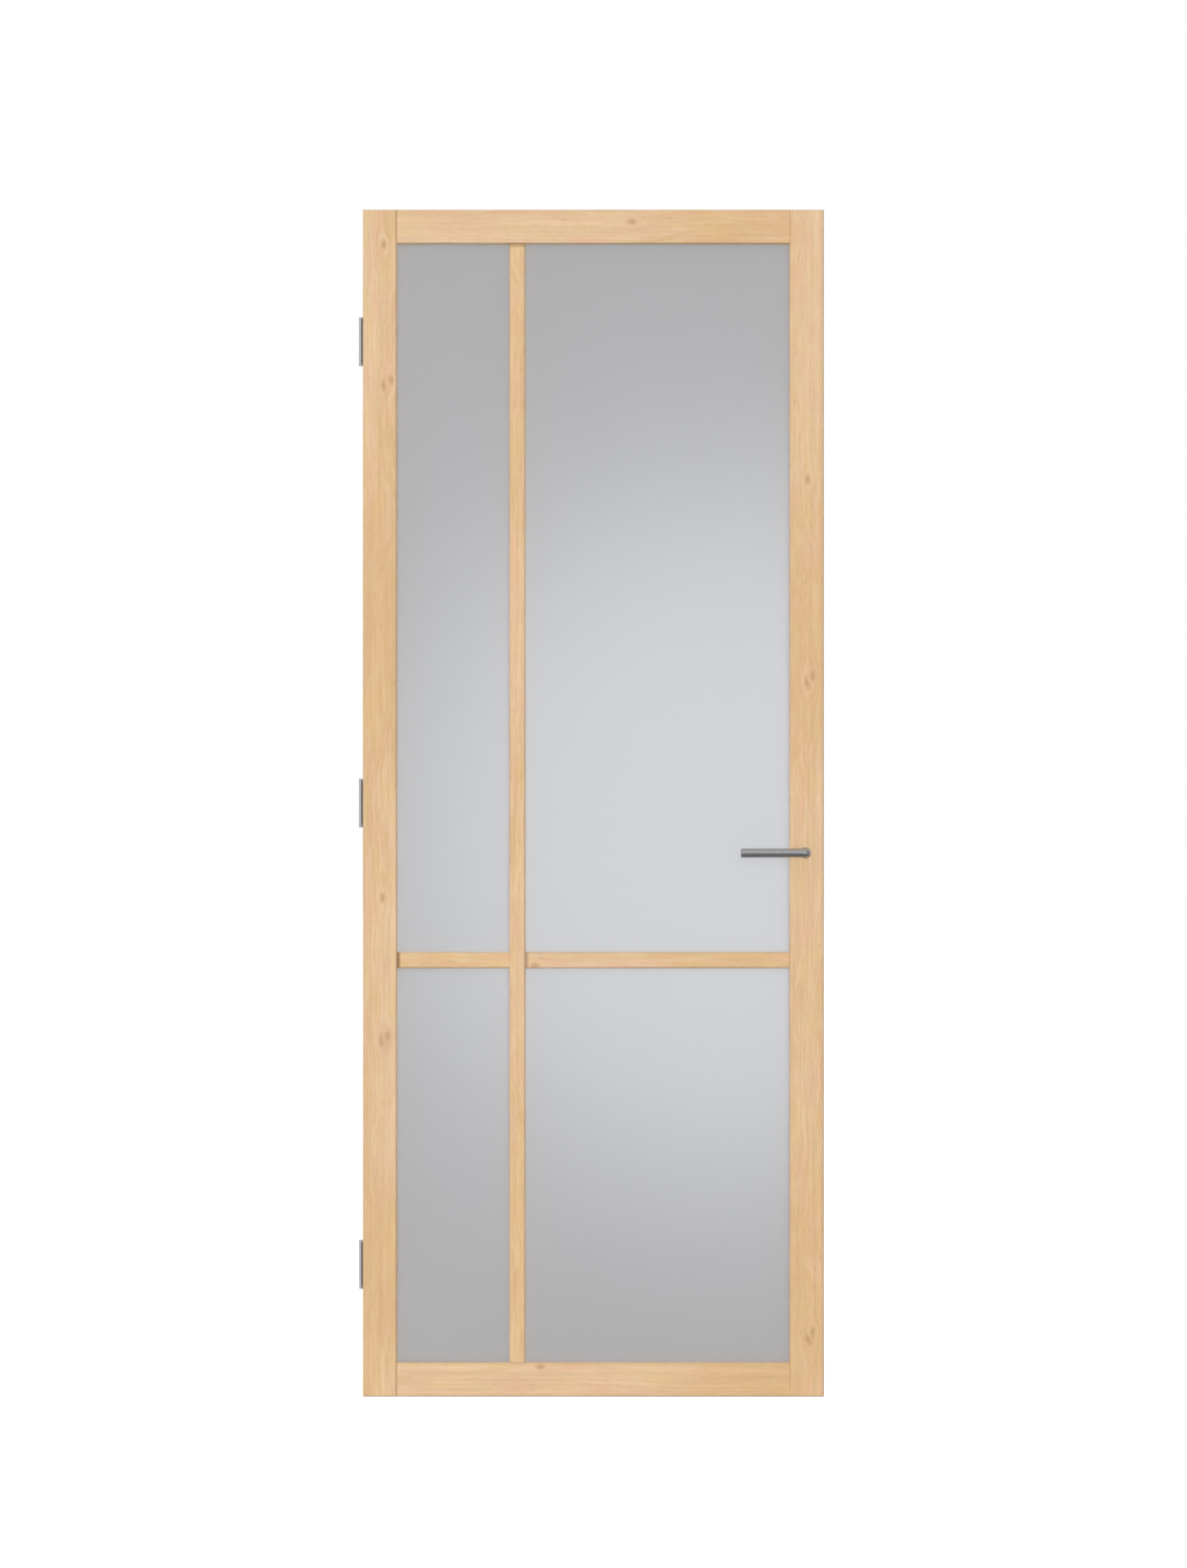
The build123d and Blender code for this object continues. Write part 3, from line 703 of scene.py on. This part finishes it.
class DoorWood(bpy.types.PropertyGroup):
    """The oak's colours and grain."""
    light_tone: FloatVectorProperty(
        name="Light Tone", description="Yellower ground", default=(0.730, 0.510, 0.306), **COLOUR)
    warm_tone: FloatVectorProperty(
        name="Warm Tone", description="Darker ground", default=(0.672, 0.440, 0.222), **COLOUR)
    blush_tone: FloatVectorProperty(
        name="Blush Tone", description="Pinkish patches", default=(0.735, 0.452, 0.288), **COLOUR)
    straw_tone: FloatVectorProperty(
        name="Straw Tone", description="Yellower patches", default=(0.735, 0.520, 0.268), **COLOUR)
    fleck_tone: FloatVectorProperty(
        name="Fleck Tone", description="Pale slanting flecks", default=(0.780, 0.575, 0.375), **COLOUR)
    line_tone: FloatVectorProperty(
        name="Line Tone", description="Growth ring lines", default=(0.600, 0.375, 0.190), **COLOUR)
    # The pore tone is also the colour of the painted shadow at the bars' ends
    pore_and_end_shadow_tone: FloatVectorProperty(
        name="Pore Tone", description="Inside the open pores", default=(0.330, 0.190, 0.090), **COLOUR)
    knot_tone: FloatVectorProperty(
        name="Knot Tone", description="Small knots", default=(0.480, 0.270, 0.125), **COLOUR)
    ring_spacing: FloatProperty(
        name="Ring Spacing", description="Between growth rings", min=0.001, default=0.0042, **LENGTH)
    knot_radius: FloatProperty(
        name="Knot Radius", description="Half the width of a knot", min=0.001, default=0.0055, **LENGTH)
    roughness: FloatProperty(
        name="Roughness", description="Roughness of the oiled surface", default=0.52, **SHARE)


class DoorGlass(bpy.types.PropertyGroup):
    """The satin glass and the tape it is bedded on."""
    colour: FloatVectorProperty(
        name="Colour", description="Grey of the satin glass", default=(0.448, 0.449, 0.458), **COLOUR)
    roughness: FloatProperty(
        name="Roughness", description="Roughness of the etched face", default=0.42, **SHARE)
    transmission: FloatProperty(
        name="Transmission", description="Share of light that passes through", default=0.30, **SHARE)
    ior: FloatProperty(name="Refraction", description="Index of refraction", min=1, max=2, default=1.5)
    tape_colour: FloatVectorProperty(
        name="Tape Colour", description="Colour of the tape", default=(0.045, 0.040, 0.036), **COLOUR)


class DoorMetal(bpy.types.PropertyGroup):
    """The metal of the lever set, the lock and the hinges."""
    lever_colour: FloatVectorProperty(
        name="Lever Colour", description="Steel of the lever set", default=(0.362, 0.362, 0.366), **COLOUR)
    lock_colour: FloatVectorProperty(
        name="Lock Colour", description="Steel of the lock", default=(0.520, 0.515, 0.500), **COLOUR)
    hinge_colour: FloatVectorProperty(
        name="Hinge Colour", description="Steel of the hinges", default=(0.500, 0.495, 0.480), **COLOUR)
    lever_roughness: FloatProperty(
        name="Lever Roughness", description="Roughness of the lever set", default=0.26, **SHARE)
    hinge_roughness: FloatProperty(
        name="Hinge Roughness", description="Roughness of the hinges and the lock", default=0.34, **SHARE)


class DoorFastenings(bpy.types.PropertyGroup):
    """The small fastenings."""
    screw_head_radius: FloatProperty(
        name="Screw Head Radius", description="Radius of a countersunk head", default=0.0041, **LENGTH)
    screw_shank_radius: FloatProperty(
        name="Screw Shank Radius", description="Radius of a screw's shank", default=0.0023, **LENGTH)
    screw_head_depth: FloatProperty(
        name="Screw Head Depth", description="Depth of the countersunk cone", default=0.0018, **LENGTH)
    screw_length: FloatProperty(
        name="Screw Length", description="Length modelled, through the plate", default=0.0029, **LENGTH)
    pin_spacing: FloatProperty(
        name="Pin Spacing", description="Greatest distance between bead pins", default=0.200, **DISTANCE)
    seed: IntProperty(name="Seed", description="Seed of the turn of each fastening", default=7)


class DoorStage(bpy.types.PropertyGroup):
    """The studio."""
    world_strength: FloatProperty(name="World Strength", description="Light from all round", default=0.42)
    key_strength: FloatProperty(name="Key Strength", description="Strength of the key light", default=1.52)
    fill_strength: FloatProperty(
        name="Fill Strength", description="Strength of the fill light behind the door", default=2.4)
    front_strength: FloatProperty(
        name="Front Strength", description="Strength of the even light from the front", default=0.72)
    glow_power: FloatProperty(
        name="Glow Power", description="Power of the softbox in the glass", subtype="POWER", default=24.4)
    glow_size: FloatProperty(
        name="Glow Size", description="Width of the round softbox", default=1.42, **DISTANCE)
    glow_distance: FloatProperty(
        name="Glow Distance", description="Softbox to the glass", default=0.82, **DISTANCE)
    glow_place: FloatVectorProperty(
        name="Glow Place", description="Softbox's place across the leaf and its height",
        subtype="XYZ_LENGTH", size=2, default=(0.75, 0.821))
    glow_colour: FloatVectorProperty(
        name="Glow Colour", description="Colour of the softbox", default=(0.89, 0.935, 1.0), **COLOUR)
    camera_distance: FloatProperty(
        name="Camera Distance", description="Camera to the leaf's front face", default=16.63, **DISTANCE)
    camera_x: FloatProperty(
        name="Camera X", description="Camera's place across the leaf", default=0.4463, **DISTANCE)
    camera_z: FloatProperty(
        name="Camera Height", description="Camera's height in the door's frame", default=0.9196, **DISTANCE)
    camera_lens: FloatProperty(
        name="Lens", description="Focal length", subtype="DISTANCE_CAMERA", unit="CAMERA", default=200.0)


# Steps

class DOOR_OT_finish_wood(bpy.types.Operator):
    """Gives every oak member its own grain"""
    bl_idname = "door.finish_wood"
    bl_label = "Finish Wood"

    def execute(self, context):
        wood = context.scene.door_wood
        grain = grain_group(wood)
        knot = knot_group(wood.knot_radius)
        for seed, node_name in enumerate(OAK_MEMBERS, start=1):
            paint(node_name, oak_material(node_name, float(seed), grain, knot))
        return {"FINISHED"}


class DOOR_OT_finish_glass(bpy.types.Operator):
    """Gives the glass its satin etch and the tape its foam"""
    bl_idname = "door.finish_glass"
    bl_label = "Finish Glass"

    def execute(self, context):
        glass = context.scene.door_glass
        paint("glass_pane", glass_material(glass))
        tape = tape_material(glass.tape_colour)
        for node_name in ("front_glazing_tape", "back_glazing_tape"):
            paint(node_name, tape)
        return {"FINISHED"}


class DOOR_OT_finish_metal(bpy.types.Operator):
    """Gives the lever set, the lock and the hinges their brushed steel"""
    bl_idname = "door.finish_metal"
    bl_label = "Finish Metal"

    def execute(self, context):
        metal = context.scene.door_metal
        lever = brushed_steel("lever_steel", metal.lever_colour, metal.lever_roughness, "X")
        lock = brushed_steel("lock_steel", metal.lock_colour, metal.hinge_roughness, "Z")
        hinge = brushed_steel("hinge_steel", metal.hinge_colour, metal.hinge_roughness, "Z")
        for node_name in ("front_lever", "back_lever", "front_rose", "back_rose"):
            paint(node_name, lever)
        for node_name in ("forend", "latch_bolt", "lock_case", "lock_follower", "spindle"):
            paint(node_name, lock)
        for height in HINGES:
            for part in ("frame_leaf", "door_leaf", "pin"):
                paint(f"{height}_hinge_{part}", hinge)
        return {"FINISHED"}


class DOOR_OT_add_screws(bpy.types.Operator):
    """Adds the countersunk screws of the hinges' door leaves and of the forend"""
    bl_idname = "door.add_screws"
    bl_label = "Add Screws"

    # Screw places on a plate: distance in front of the pin's axis, distance above or below the middle
    PLATE_SCREWS = ((0.03155, 0.034), (0.01855, 0.014))

    # From the forend's ends to its screws, and the cross recess of every screw
    FOREND_INSET = 0.010
    RECESS = {"Recess length": 0.0044, "Recess width": 0.0010, "Recess depth": 0.0012}

    def execute(self, context):
        given = context.scene.door_fastenings
        sizes = {
            "Head radius": given.screw_head_radius, "Head depth": given.screw_head_depth,
            "Shank radius": given.screw_shank_radius, "Length": given.screw_length, **self.RECESS,
        }
        tree = fastening_tree("Countersunk screws", countersunk_screw, sizes, given.seed)
        points = []
        for height in HINGES:
            low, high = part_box(f"{height}_hinge_door_leaf")
            pin_low, pin_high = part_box(f"{height}_hinge_pin")
            pin_y = (pin_low.y + pin_high.y) / 2
            middle = (low.z + high.z) / 2
            for inset, half in self.PLATE_SCREWS:
                for side in (-1, 1):
                    place = (LEAF_LOW.x, pin_y - inset, middle + side * half)
                    points.append((place, (-1.0, 0.0, 0.0)))
        place_fastenings("hinge_screws", tree, points, "hinge_steel", "leaf")
        ends = (FOREND_LOW.z + self.FOREND_INSET, FOREND_HIGH.z - self.FOREND_INSET)
        points = [((FOREND_HIGH.x, 0.0, end), (1.0, 0.0, 0.0)) for end in ends]
        place_fastenings("forend_screws", tree, points, "lock_steel", "leaf")
        return {"FINISHED"}


class DOOR_OT_add_grub_screws(bpy.types.Operator):
    """Adds the grub screw that holds each lever on the spindle"""
    bl_idname = "door.add_grub_screws"
    bl_label = "Add Grub Screws"

    # The screws' distance from the leaf's middle plane and, at their outer ends, below the spindle's axis
    BORE_Y = 0.0328
    OUTER_END_BELOW_AXIS = 0.0072

    SIZES = {"Radius": 0.0024, "Length": 0.0030, "Socket radius": 0.00144, "Socket depth": 0.0018}

    def execute(self, context):
        seed = context.scene.door_fastenings.seed
        tree = fastening_tree("Grub screws", socket_screw, self.SIZES, seed)
        height = SPINDLE_Z - self.OUTER_END_BELOW_AXIS
        points = [((SPINDLE_X, side * self.BORE_Y, height), (0.0, 0.0, -1.0)) for side in (-1, 1)]
        place_fastenings("grub_screws", tree, points, "lever_steel", "lever_set")
        return {"FINISHED"}


class DOOR_OT_add_bead_pins(bpy.types.Operator):
    """Adds the pins that hold the glazing beads"""
    bl_idname = "door.add_bead_pins"
    bl_label = "Add Bead Pins"

    # From a bead's ends to its outer pins
    END_INSET = 0.060

    SIZES = {"Radius": 0.0008, "Length": 0.0006, "Stand": 0.0001}

    def execute(self, context):
        given = context.scene.door_fastenings
        tree = fastening_tree("Bead pins", pin_head, self.SIZES, given.seed)
        points = []
        for node_name in ("bottom_bead", "top_bead", "hinge_side_bead", "lock_side_bead"):
            low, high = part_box(node_name)
            middle = (low + high) / 2
            axis = 0 if high.x - low.x > high.z - low.z else 2
            first = low[axis] + self.END_INSET
            run = high[axis] - self.END_INSET - first
            steps = math.ceil(run / given.pin_spacing)
            for index in range(steps + 1):
                place = Vector((middle.x, high.y, middle.z))
                place[axis] = first + run * index / steps
                points.append((place, (0.0, 1.0, 0.0)))
        place_fastenings("bead_pins", tree, points, "hinge_steel", "leaf")
        return {"FINISHED"}


class DOOR_OT_set_stage(bpy.types.Operator):
    """Sets the floor, the lights and the camera"""
    bl_idname = "door.set_stage"
    bl_label = "Set Stage"

    # The floor's height under the leaf, its size, its tone and how bright it is by itself
    FLOOR_GAP = 0.010
    FLOOR_HALF = 60.0
    FLOOR_TONE = 0.55
    FLOOR_GLOW = 0.64

    # The grey cards' places and tones
    CARD_REACH = (-0.6, 3.6)
    CARD_LENGTH = 9.0
    FLOOR_CARD_TONE = 0.30
    SIDE_CARD_TONE = 0.35
    SIDE_CARD_DISTANCE = 2.2
    SIDE_CARD_DEPTHS = (-0.1, 1.6)
    SIDE_CARD_RISE = 1.0

    # Each sun's place and the point that it faces, and how wide it looks in degrees
    TARGET = (0.446, 0.0, 0.88)
    KEY_LINE = ((-3.0, -5.0, 3.0), TARGET)
    FILL_LINE = ((4.5, 4.0, 3.2), TARGET)
    FRONT_LINE = ((0.446, -6.0, 1.4), TARGET)
    KEY_WIDTH = 6.0
    FILL_WIDTH = 30.0

    # The camera's sensor in millimetres, and how far it sees
    SENSOR_WIDTH = 36.0
    SIGHT = 200.0

    def execute(self, context):
        stage = context.scene.door_stage
        scene = context.scene
        scene.view_settings.view_transform = "Standard"
        self.set_world(scene, stage)
        self.add_floor()
        self.add_cards()
        self.add_lights(stage)
        self.add_camera(scene, stage)
        return {"FINISHED"}

    def add_plane(self, name, material, corners):
        """A flat piece of the studio."""
        mesh = bpy.data.meshes.new(name)
        mesh.from_pydata(corners, [], [(0, 1, 2, 3)])
        mesh.materials.append(material)
        plane = bpy.data.objects.new(name, mesh)
        bpy.context.scene.collection.objects.link(plane)
        return plane

    def set_world(self, scene, stage):
        """Light from all round, and plain white where the world itself is seen."""
        world = bpy.data.worlds.new("studio")
        world.use_nodes = True
        tree = world.node_tree
        background = tree.nodes["Background"]
        background.inputs["Color"].default_value = WHITE
        by_ray = {"Value": seen_directly(tree), "To Min": stage.world_strength}
        strength = add(tree, "ShaderNodeMapRange", by_ray)
        tree.links.new(strength.outputs["Result"], background.inputs["Strength"])
        scene.world = world

    def add_floor(self):
        """A pale floor that reads white where nothing shades it."""
        material, tree, shader = new_material("studio_floor")
        shader.inputs["Base Color"].default_value = opaque([self.FLOOR_TONE] * 3)
        shader.inputs["Roughness"].default_value = 1.0
        shader.inputs["Specular IOR Level"].default_value = 0.0
        shader.inputs["Emission Color"].default_value = WHITE
        glow = sum_of(tree, "MULTIPLY", seen_directly(tree), self.FLOOR_GLOW)
        tree.links.new(glow, shader.inputs["Emission Strength"])
        height = LEAF_LOW.z - self.FLOOR_GAP
        corners = [(-1, -1), (1, -1), (1, 1), (-1, 1)]
        half = self.FLOOR_HALF
        self.add_plane("studio_floor", material, [(x * half, y * half, height) for x, y in corners])

    def add_card(self, name, tone, corners):
        """A grey card that only the metal and the glass reflect."""
        material = bpy.data.materials.new(name)
        material.use_nodes = True
        tree = material.node_tree
        tree.nodes.clear()
        glow = add(tree, "ShaderNodeEmission", {"Color": WHITE, "Strength": tone})
        add(tree, "ShaderNodeOutputMaterial", {"Surface": glow.outputs["Emission"]})
        only_for(self.add_plane(name, material, corners), glossy=True)

    def add_cards(self):
        """One card on the floor below the levers, and one upright beside each edge of the leaf."""
        middle = (LEVER_LOW.x + LEVER_HIGH.x) / 2
        left, right = [middle + reach for reach in self.CARD_REACH]
        floor = LEAF_LOW.z - self.FLOOR_GAP / 2
        front, back = -self.CARD_LENGTH, self.CARD_LENGTH
        corners = [(left, front, floor), (right, front, floor), (right, back, floor), (left, back, floor)]
        self.add_card("floor_card", self.FLOOR_CARD_TONE, corners)
        near, far = self.SIDE_CARD_DEPTHS
        top = LEAF_HIGH.z + self.SIDE_CARD_RISE
        away = self.SIDE_CARD_DISTANCE
        for side, x in (("hinge", LEAF_LOW.x - away), ("lock", LEAF_HIGH.x + away)):
            corners = [(x, near, floor), (x, far, floor), (x, far, top), (x, near, top)]
            self.add_card(side + "_side_card", self.SIDE_CARD_TONE, corners)

    def add_light(self, name, kind, energy, place, target):
        """A lamp that faces a point."""
        light = bpy.data.lights.new(name, kind)
        light.energy = energy
        item = bpy.data.objects.new(name, light)
        item.location = place
        item.rotation_euler = (Vector(target) - Vector(place)).to_track_quat("-Z", "Y").to_euler()
        bpy.context.scene.collection.objects.link(item)
        return light, item

    def add_lights(self, stage):
        """A key from the upper left, two fills, and a softbox that only the glass reflects."""
        glass = linked_set("glass_only", ["glass_pane"])
        all_but_glass = linked_set("all_but_glass", ["glass_pane"], "EXCLUDE")
        no_levers = linked_set("all_but_levers", LEVER_SET, "EXCLUDE")
        keys = (("key_light", all_but_glass, True), ("glass_key", glass, False))
        for name, receivers, casts_shadow in keys:
            light, item = self.add_light(name, "SUN", stage.key_strength, *self.KEY_LINE)
            light.angle = math.radians(self.KEY_WIDTH)
            light.use_shadow = casts_shadow
            item.light_linking.receiver_collection = receivers
            item.light_linking.blocker_collection = no_levers
            only_for(item, diffuse=True)
        fills = (
            ("back_fill", stage.fill_strength, self.FILL_LINE),
            ("front_fill", stage.front_strength, self.FRONT_LINE),
        )
        for name, strength, line in fills:
            light, item = self.add_light(name, "SUN", strength, *line)
            light.angle = math.radians(self.FILL_WIDTH)
            light.use_shadow = False
            only_for(item, diffuse=True)
        x, z = stage.glow_place
        line = ((x, -stage.glow_distance, z), (x, 0.0, z))
        light, item = self.add_light("glass_glow", "AREA", stage.glow_power, *line)
        light.color = stage.glow_colour
        light.shape = "DISK"
        light.size = stage.glow_size
        item.light_linking.receiver_collection = glass
        item.light_linking.blocker_collection = linked_set("shading_glass_glow", OAK_MEMBERS)
        only_for(item, glossy=True)

    def add_camera(self, scene, stage):
        """A level camera straight in front of the leaf."""
        data = bpy.data.cameras.new("camera")
        data.lens = stage.camera_lens
        data.sensor_width = self.SENSOR_WIDTH
        data.clip_end = self.SIGHT
        camera = bpy.data.objects.new("camera", data)
        camera.location = (stage.camera_x, LEAF_LOW.y - stage.camera_distance, stage.camera_z)
        camera.rotation_euler = (math.pi / 2, 0.0, 0.0)
        scene.collection.objects.link(camera)
        scene.camera = camera


# The add-on's panel and registration

STEPS = (
    DOOR_OT_finish_wood, DOOR_OT_finish_glass, DOOR_OT_finish_metal, DOOR_OT_add_screws,
    DOOR_OT_add_grub_screws, DOOR_OT_add_bead_pins, DOOR_OT_set_stage,
)
SETTINGS = {
    "door_wood": DoorWood, "door_glass": DoorGlass, "door_metal": DoorMetal,
    "door_fastenings": DoorFastenings, "door_stage": DoorStage,
}


class DOOR_PT_panel(bpy.types.Panel):
    """Lists the door's steps and settings"""
    bl_idname = "DOOR_PT_panel"
    bl_label = "Glazed Oak Door"
    bl_space_type = "VIEW_3D"
    bl_region_type = "UI"
    bl_category = "Door"

    def draw(self, context):
        for step in STEPS:
            self.layout.operator(step.bl_idname)
        for name, group in SETTINGS.items():
            box = self.layout.box()
            for setting in group.__annotations__:
                box.prop(getattr(context.scene, name), setting)


def register():
    for group in SETTINGS.values():
        bpy.utils.register_class(group)
    for name, group in SETTINGS.items():
        setattr(bpy.types.Scene, name, PointerProperty(type=group))
    for item in (*STEPS, DOOR_PT_panel):
        bpy.utils.register_class(item)


def unregister():
    for item in (DOOR_PT_panel, *reversed(STEPS)):
        bpy.utils.unregister_class(item)
    for name in SETTINGS:
        delattr(bpy.types.Scene, name)
    for group in SETTINGS.values():
        bpy.utils.unregister_class(group)


def main():
    register()
    bpy.ops.door.finish_wood()
    bpy.ops.door.finish_glass()
    bpy.ops.door.finish_metal()
    bpy.ops.door.add_screws()
    bpy.ops.door.add_grub_screws()
    bpy.ops.door.add_bead_pins()
    bpy.ops.door.set_stage()


if __name__ == "__main__":
    main()
